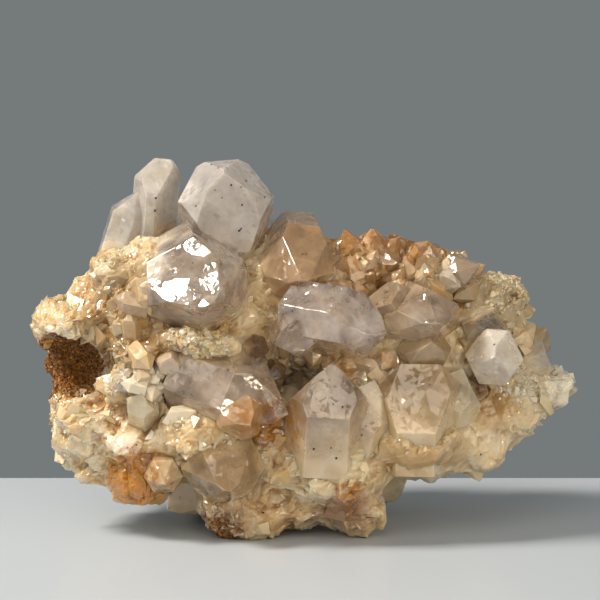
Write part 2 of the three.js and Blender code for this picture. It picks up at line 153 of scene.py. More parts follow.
points = dict(
    window=crystal(
        (-19.2, -27.5, 46.9), (0.13, -0.96, -0.2), 9.3, 24, 60,
        (0.9, 0.95, 1, 1, 0.95, 1.06), (1.4, 0, 1.3, 0.35, 0.6, 1.3),
    ),
    frosted=crystal(
        (-14.8, -14.5, 69.8), (0.03, -0.87, 0.48), 8.3, 22, 35,
        (1, 0.92, 1, 0.98, 1.2, 1), (0.4, 0.9, 0.6, 1.1, 0, 1.1),
    ),
    cloudy=crystal(
        (-28.6, 2.5, 73.4), (0.1, -0.14, 0.98), 5.6, 26, 30,
        (0.82, 0.9, 0.72, 0.75, 1, 0.55), (1.4, 0, 0.6, 0.5, 0, 1.3),
    ),
    glassyShard=crystal(
        (-32.6, 2.5, 67.2), (0.3, -0.12, 0.93), 3.8, 18, 12,
        (1, 1, 1, 1.1, 1, 1), (0, 1, 0, 0, 0.6, 0.3),
    ),
    ochre=crystal(
        (0.2, -18, 50.4), (0.1, -0.96, -0.18), 6.9, 22, 24,
        (1, 1.24, 1, 0.95, 1, 1), (0.6, 0.2, 0.4, 1, 0, 0.3),
    ),
    lilac=crystal(
        (15.6, -24, 41.3), (0.85, -0.52, -0.1), 6.6, 20, 8,
        (1, 0.95, 1, 1, 0.72, 1), (0, 0.8, 0, 0.8, 0.2, 0.8),
    ),
    mauve=crystal((-5.4, -22.5, 38.6), (-0.62, -0.72, -0.3), 4.4, 15, 10),
    rimmed=crystal(
        (25.6, -22.5, 42.6), (0.34, -0.9, -0.1), 6.4, 20, 4,
        (1.2, 0.8, 0.75, 1.25, 0.85, 0.9), (1, 0.2, 0.4, 1.1, 0.2, 0.5),
    ),
    rimmedNeighbour=crystal((16.6, -19.5, 46.2), (-0.1, -0.9, 0.3), 5.2, 14, 10),
    streaky=crystal((36.6, -13.6, 43.2), (0.1, -0.86, 0.44), 4.5, 15, 14, (1.1, 1, 1, 1.1, 1.2, 1)),
    white=crystal(
        (36.4, -18.5, 36), (-0.1, -0.96, 0.14), 4.9, 15, 26,
        (1, 1.1, 1, 1, 1.1, 1), (0.4, 1, 0.2, 1, 0.4, 1.2),
    ),
    farRight=crystal((47.6, -7, 35.4), (0.36, -0.84, 0.36), 4.2, 14, 12),
    edgeRight=crystal((48.6, -1.5, 39.6), (0.56, -0.4, 0.66), 4.4, 14, 40),
    milkyTip=crystal(
        (5.6, -22.5, 35.4), (0.05, -0.2, 0.97), 7.3, 21, 30,
        (0.95, 1, 1, 1, 0.95, 0.9), (0, 0.9, 0, 0.95, 0, 1.0),
    ),
    milkySide=crystal((13.4, -19.5, 31.6), (0.24, -0.3, 0.92), 6, 20, 22, ends=(0.2, 1, 0, 1, 0, 0.7)),
    smoothMilky=crystal(
        (22.4, -18.6, 34.6), (0.02, -0.3, 0.95), 8.4, 20, 30,
        (0.8, 1, 0.9, 0.95, 1, 0.8), (1.5, 0, 1.3, 1.4, 0, 1.4),
    ),
    smoothNeighbour=crystal((24.4, -20.5, 39), (0.16, -0.88, 0.3), 4.6, 15, 30),
    paleRight=crystal((30.6, -16.5, 33.4), (0.22, -0.5, 0.83), 5, 18, 18),
    lilacSheen=crystal(
        (-2.8, -23, 25.6), (0.86, -0.44, -0.27), 7.6, 23, 42,
        (1, 0.9, 1.05, 1, 1, 1), (0, 0.4, 0.1, 0.9, 0.1, 0.5),
    ),
    tanBehind=crystal((-6.6, -19.5, 35), (0.86, -0.48, 0.08), 4.4, 17, 20),
    orangeShard=crystal((-9.9, -29, 24.3), (0.3, -0.93, -0.16), 4, 10, 0, (0.85, 1, 1, 1.1, 1, 1)),
    brownFacet=crystal(
        (-14.2, -26, 13.2), (0.1, -0.93, -0.28), 7, 15, 30,
        (1, 0.75, 1, 1.1, 0.8, 1), (1, 0, 1, 1.2, 1.2, 1.2),
    ),
    hexFacet=crystal(
        (-26.6, -22.5, 12.4), (0.05, -0.97, -0.2), 3.3, 12, 30,
        ends=(0.9, 1, 0.9, 1, 0.9, 1),
    ),
    gapStub=crystal((-8.4, -21, 38.6), (0.2, -0.9, 0.3), 2.3, 10, 15),
    gapStubLow=crystal((-5.2, -19, 34.6), (0.1, -0.8, 0.5), 2.1, 9, 40),
    sparkStub=crystal((-25, -22.5, 36.4), (0.1, -0.9, 0.4), 2.6, 9, 20),
    pocketStub=crystal((33.4, -12.2, 30.6), (-0.2, -0.8, 0.5), 2, 8, 10),
    ridgeStub=crystal((-30.6, -22.4, 29.4), (0, -0.8, 0.6), 3, 10, 5),
)

chanceTimes, chancePlus, chanceSize = 1664525, 1013904223, 2**32


def makeRandom(seed):  # repeatable chance: the same numbers as the solid's own source draws
    state = seed % chanceSize

    def draw(low=0.0, high=1.0):
        nonlocal state
        state = (state * chanceTimes + chancePlus) % chanceSize
        return low + (high - low) * state / chanceSize

    return draw


def randomDirection(random):
    z = random(-1, 1)
    turn = random(0, 2 * math.pi)
    flat = math.sqrt(1 - z * z)
    return Vector((flat * math.cos(turn), flat * math.sin(turn), z))


def hullOf(corners):  # the smallest solid without dents around some corners
    bm = bmesh.new()
    for corner in corners:
        bm.verts.new(corner)
    hull = bmesh.ops.convex_hull(bm, input=bm.verts)
    loose = {v for v in hull["geom_interior"] if isinstance(v, bmesh.types.BMVert)}
    bmesh.ops.delete(bm, geom=list(loose), context="VERTS")
    return bm


def addTo(whole, part):  # copies one bmesh into another and frees it
    mesh = bpy.data.meshes.new("part")
    part.to_mesh(mesh)
    part.free()
    whole.from_mesh(mesh)
    bpy.data.meshes.remove(mesh)


heightPlay, turnPlay, outwardPlay = 0.5, 0.25, 0.4  # how far a stone's corners stray from an even spread


def boulder(at, size, turn=(0, 0, 0), seed=1, corners=16, rough=0.12):
    random = makeRandom(seed)
    rotation = Euler([math.radians(angle) for angle in turn], "ZYX")
    goldenTurn = math.pi * (3 - math.sqrt(5))
    start = random(0, 2 * math.pi)
    around = []
    for corner in range(corners):
        z = 1 - (2 * corner + 1) / corners + random(-heightPlay, heightPlay) / corners
        flat = math.sqrt(max(0.0, 1 - z * z))
        angle = start + corner * goldenTurn + random(-turnPlay, turnPlay)
        reach = random(1 - rough, 1 + rough * outwardPlay)
        point = Vector((flat * math.cos(angle) * size[0], flat * math.sin(angle) * size[1], z * size[2]))
        point *= reach
        point.rotate(rotation)
        around.append(point + Vector(at))
    return hullOf(around)


endTilt = math.radians(51.8)  # between a quartz end face's normal and the axis
endStep = 0.22  # radii that 1.0 in ends stands for
uprightFrom = 0.8  # an axis this near to z takes y as its reference


def crystalPlanes(tip, axis, radius, length, roll, sides, ends):  # outward normals, and how far out they are
    along = np.array(axis, float) / np.linalg.norm(axis)
    top = np.array(tip, float)
    reference = np.array((0.0, 1.0, 0.0) if abs(along[2]) > uprightFrom else (0.0, 0.0, 1.0))
    v = reference - along * (reference @ along)
    v /= np.linalg.norm(v)
    u = np.cross(v, along)
    normals = [-along]
    offsets = [length - along @ top]
    for side in range(6):
        turn = math.radians(roll + 60 * side)
        normal = u * math.cos(turn) + v * math.sin(turn)
        end = along * math.cos(endTilt) + normal * math.sin(endTilt)
        normals += [normal, end]
        offsets += [normal @ top + radius * sides[side], end @ top + radius * endStep * ends[side]]
    return np.array(normals), np.array(offsets)


parallel, outside, onFace, weld = 1e-5, 1e-4, 1e-3, 0.02  # what counts as none, the last three in mm


def solidBehind(normals, offsets):  # the solid that lies behind all of some planes
    threes = np.array(list(itertools.combinations(range(len(normals)), 3)))
    grids = normals[threes]
    meeting = np.abs(np.linalg.det(grids)) > parallel
    corners = np.linalg.solve(grids[meeting], offsets[threes[meeting]][..., None])[..., 0]
    inside = (corners @ normals.T <= offsets + outside).all(1)
    corners = np.unique(np.round(corners[inside], 4), axis=0)
    bm = bmesh.new()
    verts = [bm.verts.new(corner) for corner in corners]
    for normal, offset in zip(normals, offsets):
        on = [i for i in range(len(corners)) if abs(corners[i] @ normal - offset) < onFace]
        if len(on) < 3:
            continue
        middle = corners[on].mean(0)
        u = corners[on[0]] - middle
        u /= np.linalg.norm(u)
        v = np.cross(normal, u)
        on.sort(key=lambda i: math.atan2((corners[i] - middle) @ v, (corners[i] - middle) @ u))
        bm.faces.new([verts[i] for i in on])
    bmesh.ops.remove_doubles(bm, verts=bm.verts, dist=weld)
    return bm


# The same skin of lumps and stub crystals as the solid's. Blocks are chosen by their size, and nothing
# is put low down, inside another block or by a hollow.
skinRules = dict(seed=2718, back=0.35, sureArea=520, lowest=4, buried=0.97, byHollow=1.35)
lumpShape = dict(sink=0.74, width=(0.9, 1.3), height=(0.8, 1.1), corners=10)
stubShape = dict(lean=0.55, rise=(0.2, 0.7), length=3.4, end=(0.3, 1), lowEnd=(0, 0.6), mostBack=-0.3)


def liesIn(block, point, factor):
    share = [(point[i] - block["at"][i]) / block["size"][i] for i in range(3)]
    return sum(s * s for s in share) < factor * factor


def placeOnBase(random, fits):
    blocks = list(baseBlocks.values())
    while True:
        block = blocks[int(random() * len(blocks))]
        chosen = random() < block["size"][0] * block["size"][2] / skinRules["sureArea"]
        way = randomDirection(random)
        place = Vector(block["at"][i] + way[i] * block["size"][i] for i in range(3))
        facing = Vector(way[i] / block["size"][i] for i in range(3)).normalized()
        if not chosen or place.z <= skinRules["lowest"] or not fits(facing):
            continue
        if any(other is not block and liesIn(other, place, skinRules["buried"]) for other in blocks):
            continue
        if not any(liesIn(hollow, place, skinRules["byHollow"]) for hollow in hollows.values()):
            return place, facing


def lumps(random, count, radii, firstSeed, fits=lambda way: True):
    made = []
    for lump in range(count):
        place, facing = placeOnBase(random, fits)
        radius = random(*radii)
        place -= facing * radius * lumpShape["sink"]
        size = (radius * random(*lumpShape["width"]), radius, radius * random(*lumpShape["height"]))
        turn = (random(0, 180), random(0, 180), 0)
        made.append(dict(at=place, size=size, turn=turn, seed=firstSeed + lump, corners=lumpShape["corners"]))
    return made


def stubs(random, count, radii):
    made = []
    for _ in range(count):
        place, facing = placeOnBase(random, lambda way: way.y > stubShape["mostBack"])
        lean = randomDirection(random) * stubShape["lean"]
        axis = (facing + lean).normalized()
        radius = random(*radii)
        place += axis * radius * random(*stubShape["rise"])
        roll = random(0, 60)
        ends = (0, random(*stubShape["end"]), 0, random(*stubShape["end"]), random(*stubShape["lowEnd"]), 1)
        made.append(crystal(place, axis, radius, radius * stubShape["length"], roll, ends=ends))
    return made


# How many, radii in mm and first seed. The second lot of lumps is on the back.
skinRandom = makeRandom(skinRules["seed"])
skinLumps = lumps(skinRandom, 34, (3, 7), 1000)
skinLumps += lumps(skinRandom, 30, (5, 9), 2000, lambda way: way.y > skinRules["back"])
skinStubs = stubs(skinRandom, 18, (1.8, 3.4)) + stubs(skinRandom, 10, (3.6, 6))


def makeObject(name, data):
    thing = bpy.data.objects.new(name, data)
    bpy.context.scene.collection.objects.link(thing)
    return thing


def objectFrom(name, bm):
    mesh = bpy.data.meshes.new(name)
    bm.to_mesh(mesh)
    bm.free()
    return makeObject(name, mesh)


def modify(piece, kind, **settings):  # applies one modifier, and frees the mesh the piece had before
    modifier = piece.modifiers.new(kind, kind)
    for name, value in settings.items():
        setattr(modifier, name, value)
    graph = bpy.context.evaluated_depsgraph_get()
    mesh = bpy.data.meshes.new_from_object(piece.evaluated_get(graph))
    piece.modifiers.clear()
    old = piece.data
    piece.data = mesh
    bpy.data.meshes.remove(old)


def remesh(piece, voxel):
    modify(piece, "REMESH", mode="VOXEL", voxel_size=voxel)


def combine(piece, other, operation):
    modify(piece, "BOOLEAN", operation=operation, solver="MANIFOLD", object=other)
    mesh = other.data
    bpy.data.objects.remove(other)
    bpy.data.meshes.remove(mesh)


def cornersOf(mesh, kind="co"):
    values = np.empty(len(mesh.vertices) * 3, np.float32)
    mesh.vertices.foreach_get(kind, values)
    return values.reshape(-1, 3).astype(float)


def normalsOf(mesh):
    return cornersOf(mesh, "normal")


def moveCorners(mesh, corners):
    mesh.vertices.foreach_set("co", corners.astype(np.float32).ravel())
    mesh.update()


def setMask(mesh, name, values):
    layer = mesh.attributes.new(name, "FLOAT", "POINT")
    layer.data.foreach_set("value", np.clip(values, 0, 1).astype(np.float32))


def smoothed(mesh, values, rounds):
    edges = np.empty(len(mesh.edges) * 2, np.int32)
    mesh.edges.foreach_get("vertices", edges)
    a, b = edges.reshape(-1, 2).T
    count = np.bincount(a, minlength=len(values)) + np.bincount(b, minlength=len(values))
    for _ in range(rounds):
        total = np.zeros_like(values)
        np.add.at(total, a, values[b])
        np.add.at(total, b, values[a])
        values = total / np.maximum(count, 1)[:, None]
    return values


cellPrimes, saltPrime, turnPrime = (73856093, 19349663, 83492791), 2654435761, 374761393
mixPrimes, word = (2246822519, 3266489917), 0xFFFFFFFF  # the last keeps 32 bits


def scramble(cells, salt):  # three repeatable numbers from 0 to 1 for each whole-numbered cell
    c = cells.astype(np.int64)
    h = (c[:, 0] * cellPrimes[0]) ^ (c[:, 1] * cellPrimes[1]) ^ (c[:, 2] * cellPrimes[2]) ^ (salt * saltPrime)
    out = []
    for turn in (1, 2, 3):
        k = (h + turn * turnPrime) & word
        k = ((k ^ (k >> 15)) * mixPrimes[0]) & word
        k = ((k ^ (k >> 13)) * mixPrimes[1]) & word
        out.append((k ^ (k >> 16)) / chanceSize)
    return np.stack(out, 1)


facetTilt, facetLift = 1.3, 0.9  # how steep a grain's face is, and how much grains differ in height


def grainFacets(points, size, salt):  # a tilted plane in each grain of about that size, from -1 to 1
    cell = np.floor(points / size).astype(np.int64)
    nearest = np.full(len(points), np.inf)
    middle = np.zeros_like(points)
    home = np.zeros_like(cell)
    for step in itertools.product((-1, 0, 1), repeat=3):
        near = cell + np.array(step)
        spot = (near + scramble(near, salt)) * size
        distance = ((points - spot) ** 2).sum(1)
        closer = distance < nearest
        nearest[closer] = distance[closer]
        middle[closer] = spot[closer]
        home[closer] = near[closer]
    tilt = scramble(home, salt + 1) * 2 - 1
    tilt /= np.linalg.norm(tilt, axis=1)[:, None] + 1e-9
    lift = scramble(home, salt + 2)[:, 0] - 0.5
    rise = ((points - middle) * tilt).sum(1) / size
    return np.clip(rise * facetTilt + lift * facetLift, -1, 1)


spotEdge = 1.6  # the higher, the harder a spot's edge


def softSpots(points, spots):  # how strongly a list of soft spots covers each point
    cover = np.zeros(len(points))
    for x, y, z, radius, strength in spots:
        distance = np.linalg.norm(points - np.array((x, y, z)), axis=1) / radius
        cover = np.maximum(cover, strength * np.clip(spotEdge - spotEdge * distance, 0, 1))
    return cover


def finishPiece(piece, material):  # into the frame, in metres
    piece.data.transform(toFrame)
    piece.data.materials.clear()
    piece.data.materials.append(material)
    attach(piece, "root")


# Colours are sRGB hex everywhere, made linear here.
def colour(hexValue):
    parts = [int(hexValue[i : i + 2], 16) / 255 for i in (1, 3, 5)]
    linear = [p / 12.92 if p <= 0.04045 else ((p + 0.055) / 1.055) ** 2.4 for p in parts]
    return (*linear, 1.0)


def addNode(material, kind, settings=None, links=None):
    node = material.node_tree.nodes.new(kind)
    for name, value in (settings or {}).items():
        if name == "stops":
            ramp = node.color_ramp
            while len(ramp.elements) < len(value):
                ramp.elements.new(0.5)
            for element, (place, shade) in zip(ramp.elements, value):
                element.position = place
                element.color = colour(shade)
        elif isinstance(name, int) or name in node.inputs:
            node.inputs[name].default_value = value
        else:
            setattr(node, name, value)
    for name, socket in (links or {}).items():
        material.node_tree.links.new(socket, node.inputs[name])
    return node


def startMaterial(name):
    material = bpy.data.materials.new(name)
    material.use_nodes = True
    material.node_tree.nodes.clear()
    return material


def ranges(values, results):  # settings that map one range of values onto another
    return {"From Min": values[0], "From Max": values[1], "To Min": results[0], "To Max": results[1]}


def leaningCells(m, place, width):  # height, in metres, of cells that each lean their own way
    cells = addNode(m, "ShaderNodeTexVoronoi", {"Scale": 1 / (width * millimetre)}, {"Vector": place})
    half = {"operation": "SUBTRACT", 1: (0.5, 0.5, 0.5)}
    fromMiddle = {0: place, 1: cells.outputs["Position"]}
    away = addNode(m, "ShaderNodeVectorMath", {"operation": "SUBTRACT"}, fromMiddle)
    lean = addNode(m, "ShaderNodeVectorMath", half, {0: cells.outputs["Color"]})
    dot = {"operation": "DOT_PRODUCT"}
    return addNode(m, "ShaderNodeVectorMath", dot, {0: away.outputs[0], 1: lean.outputs[0]}).outputs["Value"]


# One quartz for the whole cluster. Milk is what light scatters on inside: the massive base is
# full of it, a point is clear towards its tip. Iron gives the honey tone inside, ochre films in
# cracks and rust-brown stains in pockets. Noises: width in mm, detail, roughness.
quartzLook = dict(
    # hollow is painted shade: a warm brown that darkens dips in the skin, with the iron tint that gathers
    # there
    cream="#dfc9a0", pale="#e9dbc0", tan="#ccaa76", hollow="#a97a3c", ochre="#bb7c0c", rust="#7a440c",
    ior=1.544, coatIor=1.5, clearest=0.94, faceRoughness=0.05, coat=1.0, scatter=1.0,
    honeyAt=(0.34, 0.5, 0.66), mottle=(9, 5, 0.6), fine=(1.6, 4, 0.65), glintPatch=(6, 2, 0.6),
    rippleHeight=0.2,
)
middleOfNoise, stainEdge, patchEdge = (0.35, 0.65), (0.38, 0.62), (0.44, 0.58)  # closer is a harder edge
unit = (0, 1)
torn = dict(hollow=(0.3, 1.3), stain=(0.2, 1.3))  # how much of a cover the fine noise leaves
# Broken massive quartz: a mosaic of small tilted faces that glint one by one over a milky depth.
brokenLook = dict(
    leastClear=0.16, inside=(0.25, 0.36), cells=((3.2, 0.5), (1.1, 0.65)), ripple=0.3,
    glow=2.2, reach=(1, 0.76, 0.5),
)
# Loose grains of it: too small for light to sink in far, so each is crisp and keeps its own shade.
grainLook = dict(
    leastClear=0.1, inside=(0.12, 0.35), cells=((0.9, 0.25), (0.5, 0.3)), ripple=0.1, coat=0.9,
    scatter=0.6, glow=0.45, reach=(1, 0.92, 0.85),
)
# Grown faces: glass with low growth steps, so reflections have clean edges and a few wavy patches.
grownLook = dict(
    leastClear=0.2, inside=(0.03, 0.36), cells=((4.4, 0.2), (1.2, 0.55)), ripple=0.14,
    glow=1.8, reach=(1, 0.92, 0.84), cloud=(4.5, 5, 0.6), cloudMilk=(-0.12, 0.14),
)


def makeQuartz(name, ownLook):
    look = {**quartzLook, **ownLook}
    m = startMaterial(name)
    place = addNode(m, "ShaderNodeTexCoord").outputs["Object"]
    plus, times = ({"operation": kind, "use_clamp": True} for kind in ("ADD", "MULTIPLY"))
    masks, noises = {}, {}
    for layer in ("milk", "hollow", "ochre", "rust", "tone"):
        masks[layer] = addNode(m, "ShaderNodeAttribute", {"attribute_name": layer}).outputs
    for pattern in ("mottle", "fine", "cloud", "glintPatch"):
        if pattern in look:
            width, detail, rough = look[pattern]
            settings = {"Scale": 1 / (width * millimetre), "Detail": detail, "Roughness": rough}
            noises[pattern] = addNode(m, "ShaderNodeTexNoise", settings, {"Vector": place}).outputs["Fac"]
    milk = masks["milk"]["Fac"]
    if "cloud" in look:
        settings = ranges(middleOfNoise, look["cloudMilk"])
        cloud = addNode(m, "ShaderNodeMapRange", settings, {"Value": noises["cloud"]}).outputs[0]
        milk = addNode(m, "ShaderNodeMath", plus, {0: milk, 1: cloud}).outputs[0]
    stops = tuple(zip(look["honeyAt"], (look["tan"], look["cream"], look["pale"])))
    honey = addNode(m, "ShaderNodeValToRGB", {"stops": stops}, {"Fac": noises["mottle"]}).outputs["Color"]
    links = {0: masks["tone"]["Alpha"], 6: honey, 7: masks["tone"]["Color"]}
    shade = addNode(m, "ShaderNodeMix", {"data_type": "RGBA"}, links).outputs[2]
    # Painted shade in the recesses, then the stains, lie over it, torn up by the fine noise
    for layer, edge, strength in (
        ("hollow", middleOfNoise, torn["hollow"]), ("ochre", stainEdge, torn["stain"]),
        ("rust", stainEdge, torn["stain"]),
    ):
        patchy = addNode(m, "ShaderNodeMapRange", ranges(edge, strength), {"Value": noises["fine"]})
        cover = addNode(m, "ShaderNodeMath", times, {0: masks[layer]["Fac"], 1: patchy.outputs[0]})
        settings = {"data_type": "RGBA", 7: colour(look[layer])}
        shade = addNode(m, "ShaderNodeMix", settings, {0: cover.outputs[0], 6: shade}).outputs[2]
    links = {"Base Color": shade}
    for socket, mask, results in (  # rust is dull, and milk clouds the inside
        ("Coat Weight", masks["rust"]["Fac"], (look["coat"], 0)),
        ("Transmission Weight", milk, (look["clearest"], look["leastClear"])),
        ("Roughness", milk, look["inside"]),
    ):
        links[socket] = addNode(m, "ShaderNodeMapRange", ranges(unit, results), {"Value": mask}).outputs[0]
    (wide, wideLean), (small, smallLean) = look["cells"]
    patches = addNode(m, "ShaderNodeMapRange", ranges(patchEdge, unit), {"Value": noises["glintPatch"]})
    smallCells = {0: leaningCells(m, place, small), 1: patches.outputs[0]}
    glints = addNode(m, "ShaderNodeMath", times, smallCells).outputs[0]
    facing = {}
    for height, strength, distance in (
        (leaningCells(m, place, wide), wideLean, 1), (glints, smallLean, 1),
        (noises["fine"], look["ripple"], look["rippleHeight"] * millimetre),
    ):
        settings = {"Strength": strength, "Distance": distance}
        bump = addNode(m, "ShaderNodeBump", settings, {"Height": height, **facing})
        facing = {"Normal": bump.outputs[0]}
    settings = {
        "IOR": look["ior"], "Subsurface Weight": look["scatter"], "Subsurface Radius": look["reach"],
        "Subsurface Scale": look["glow"] * millimetre, "Coat IOR": look["coatIor"],
        "Coat Roughness": look["faceRoughness"],
    }
    links.update({**facing, "Coat Normal": facing["Normal"]})
    shader = addNode(m, "ShaderNodeBsdfPrincipled", settings, links)
    addNode(m, "ShaderNodeOutputMaterial", links={"Surface": shader.outputs[0]})
    return m


# A healed crack is a sheet of tiny bubbles: it shows as a whitish veil that comes and goes.
veilLook = dict(
    white="#f6f1ec", wisps=(1.1, 4, 0.7), edge=(0.42, 0.7), thickest=0.85, roughness=0.25, ior=1.33,
)


def makeVeil():
    m = startMaterial("healedCrackVeil")
    place = addNode(m, "ShaderNodeTexCoord").outputs["Object"]
    width, detail, rough = veilLook["wisps"]
    settings = {"Scale": 1 / (width * millimetre), "Detail": detail, "Roughness": rough}
    wisps = addNode(m, "ShaderNodeTexNoise", settings, {"Vector": place}).outputs["Fac"]
    settings = ranges(veilLook["edge"], (0, veilLook["thickest"]))
    cover = addNode(m, "ShaderNodeMapRange", settings, {"Value": wisps}).outputs[0]
    settings = {
        "Base Color": colour(veilLook["white"]), "Roughness": veilLook["roughness"], "IOR": veilLook["ior"],
    }
    shader = addNode(m, "ShaderNodeBsdfPrincipled", settings, {"Alpha": cover})
    addNode(m, "ShaderNodeOutputMaterial", links={"Surface": shader.outputs[0]})
    return m


# Limonite is earthy iron rust: dull and without depth, so the pit swallows light between its grains.
crustLook = dict(roughness=0.55)


def makeCrust():
    m = startMaterial("earthyLimonite")
    tone = addNode(m, "ShaderNodeAttribute", {"attribute_name": "tone"}).outputs["Color"]
    settings = {"Roughness": crustLook["roughness"]}
    shader = addNode(m, "ShaderNodeBsdfPrincipled", settings, {"Base Color": tone})
    addNode(m, "ShaderNodeOutputMaterial", links={"Surface": shader.outputs[0]})
    return m


def makePlain(name, shade, roughness):
    m = startMaterial(name)
    settings = {"Base Color": colour(shade), "Roughness": roughness}
    shader = addNode(m, "ShaderNodeBsdfPrincipled", settings)
    addNode(m, "ShaderNodeOutputMaterial", links={"Surface": shader.outputs[0]})
    return m


print("materials ready")

bodyForm = dict(voxel=0.55, coarse=0.8, closing=1.2, smoothShare=0.6, inset=0.45, mostTriangles=188000)
grainLevels = ((6.5, 0.75, 10), (2.8, 0.4, 20), (1.3, 0.14, 30))  # width and height in mm, salt
smoothSpots = (  # water-worn, milky places: x, y, z and radius in mm, strength
    (24, -15, 15, 16, 1), (36, -10, 22, 15, 0.9), (47, -5, 27, 10, 0.8), (38, -6, 47, 9, 0.5),
    (-8, -16, 7, 9, 0.4),
)


def buildBody():
    bm = bmesh.new()
    for block in [*baseBlocks.values(), *ledges.values(), *skinLumps]:
        addTo(bm, boulder(**block))
    body = objectFrom("massiveQuartz", bm)
    remesh(body, bodyForm["coarse"])
    # Swelling, joining and shrinking back closes the narrow clefts between the stones
    for step in (bodyForm["closing"], -bodyForm["closing"]):
        moveCorners(body.data, cornersOf(body.data) + normalsOf(body.data) * step)
        remesh(body, bodyForm["coarse"])
    for hollow in hollows.values():
        combine(body, objectFrom("hollow", boulder(**hollow, rough=hollowRough)), "DIFFERENCE")
    remesh(body, bodyForm["voxel"])
    points = cornersOf(body.data)
    normals = normalsOf(body.data)
    push = np.zeros(len(points))
    for width, height, salt in grainLevels:
        push += height * grainFacets(points + push[:, None] * normals, width, salt)
    push = push * (1 - bodyForm["smoothShare"] * softSpots(points, smoothSpots)) - bodyForm["inset"]
    points = points + normals * push[:, None]
    moveCorners(body.data, np.clip(points, lowest, highest))
    triangles = sum(len(p.vertices) - 2 for p in body.data.polygons)
    share = min(1.0, bodyForm["mostTriangles"] / triangles)
    modify(body, "DECIMATE", ratio=share, use_collapse_triangulate=True)
    return body


body = buildBody()
print("body", len(body.data.polygons))

# What each point is tinted with, and how milky its clear end is
plainPoint = ("#dccba8", 0.85)
pointTints = dict(
    window=("#d8cdc4", 0.2), frosted=("#e2dbd6", 0.58), cloudy=("#e6e0d8", 0.54),
    glassyShard=("#f0ebe4", 0.4), ochre=("#cfb08c", 0.36), lilac=("#eae0de", 0.14), mauve=("#ccbaae", 0.12),
    rimmed=("#d8c8b6", 0.2), rimmedNeighbour=("#d2c0aa", 0.25), streaky=("#b5a798", 0.1),
    white=("#f5ede4", 0.62), farRight=("#e6decf", 0.45), edgeRight=("#cfba92", 0.55),
    milkyTip=("#bcac9e", 0.1), milkySide=("#d2c0a8", 0.28), smoothMilky=("#c8ac88", 0.36),
    smoothNeighbour=("#cbb594", 0.45), paleRight=("#e4d8bc", 0.45), lilacSheen=("#eadbce", 0.2),
    tanBehind=("#ad9070", 0.3), orangeShard=("#d0a878", 0.5), brownFacet=("#c6ab86", 0.38),
    # 9c7e5c on gapStub, gapStubLow and pocketStub is painted shade: darker brown for the stubs deep in the
    # centre cave and the right pocket
    hexFacet=("#ead9b8", 0.65), gapStub=("#9c7e5c", 0.2), gapStubLow=("#9c7e5c", 0.2),
    sparkStub=("#d8c8b6", 0.7), pocketStub=("#9c7e5c", 0.2), ridgeStub=("#eadcc0", 0.55),
)
tintStrengths = dict(orangeShard=0.9, stub=0.6)
pointFinish = dict(
    bevel=0.14, bevelSteps=2, bevelProfile=0.6, longestEdge=1.4, rounds=5, rootDepth=0.5,
    rootMilk=2.6, rootTint=0.75, ironShare=0.7,
)
longRoots = dict(milkyTip=9, smoothMilky=7, milkySide=7, paleRight=6, white=5)  # mm


def buildPoints():
    shapes = [crystalPlanes(**point) for point in [*points.values(), *skinStubs]]
    whole = None
    for normals, offsets in shapes:
        bm = solidBehind(normals, offsets)
        bmesh.ops.bevel(
            bm, geom=list(bm.edges), offset=pointFinish["bevel"], segments=pointFinish["bevelSteps"],
            profile=pointFinish["bevelProfile"], affect="EDGES", clamp_overlap=True,
        )
        bmesh.ops.triangulate(bm, faces=bm.faces)
        piece = objectFrom("quartzPoints", bm)
        if whole is None:
            whole = piece
        else:
            combine(whole, piece, "UNION")
    # A clear point shows what lies behind it, so its root ends just under the base's surface
    core = makeObject("core", body.data.copy())
    moveCorners(core.data, cornersOf(core.data) - normalsOf(core.data) * pointFinish["rootDepth"])
    combine(whole, core, "DIFFERENCE")
    bm = bmesh.new()
    bm.from_mesh(whole.data)
    bmesh.ops.triangulate(bm, faces=list(bm.faces))
    for _ in range(pointFinish["rounds"]):
        tooLong = [edge for edge in bm.edges if edge.calc_length() > pointFinish["longestEdge"]]
        if not tooLong:
            break
        bmesh.ops.subdivide_edges(bm, edges=tooLong, cuts=1)
        bmesh.ops.triangulate(bm, faces=list(bm.faces))
    bm.to_mesh(whole.data)
    bm.free()
    return whole, shapes


quartzPoints, pointShapes = buildPoints()
print("points", len(quartzPoints.data.polygons))

# Iron and shade, as soft spots: x, y, z and radius in mm, strength
ochreSpots = (
    (-32, -19, 10.5, 10, 1.5), (-29.5, -18, 8, 8, 1.5), (-35, -17, 13, 4, 0.6),
    (-30.7, -18.5, 17.2, 2.5, 0.7), (-5.3, -23.8, 24.5, 7, 1.4), (-7.9, -19.5, 22.3, 5, 1),
    (-10, -27, 25, 5, 0.8), (9, -7, 53, 6, 0.7), (15, -5, 55, 6, 0.8), (23, -2, 54.5, 7, 0.9),
    (29, -4, 52, 4, 0.7), (12, -8, 49, 5, 0.5), (-33, -18, 45, 6, 0.45), (-30, -20, 48.8, 4, 0.4),
    (28.9, -14.7, 40.5, 3.5, 0.9), (16, -14, 33.5, 3.5, 0.8), (8.9, -23, 11, 4, 1.2),
    (-40, -13, 30, 4, 0.5), (-50.5, -7, 37.5, 3.5, 0.8), (-46, -8, 25, 5, 0.7), (-44, -3, 32, 9, 1.4),
    (37, 6, 20, 9, 0.5), (-20, 24, 20, 10, 0.6), (12, 26, 40, 9, 0.5),
)
rustSpots = (
    (-46, -3, 33, 13, 0.6), (-50, -5, 34, 6, 0.9), (-48, -8, 37, 5, 0.8), (-46, -6, 28, 4, 0.8),
    (-16, -16.5, 2, 8, 0.9), (9.5, -21.5, 6, 4, 0.7), (-24, -12, 4, 5, 0.7), (0, -14, 1.5, 6, 0.5),
    (12, -16, 2.5, 4, 0.4), (33.4, -11, 29, 3.5, 0.6), (-1, -8, 32, 6, 0.35), (20, -5, 51, 3, 0.3),
    (-26, 20, 12, 7, 0.5),
)
ironSpots = {"ochre": ochreSpots, "rust": rustSpots}
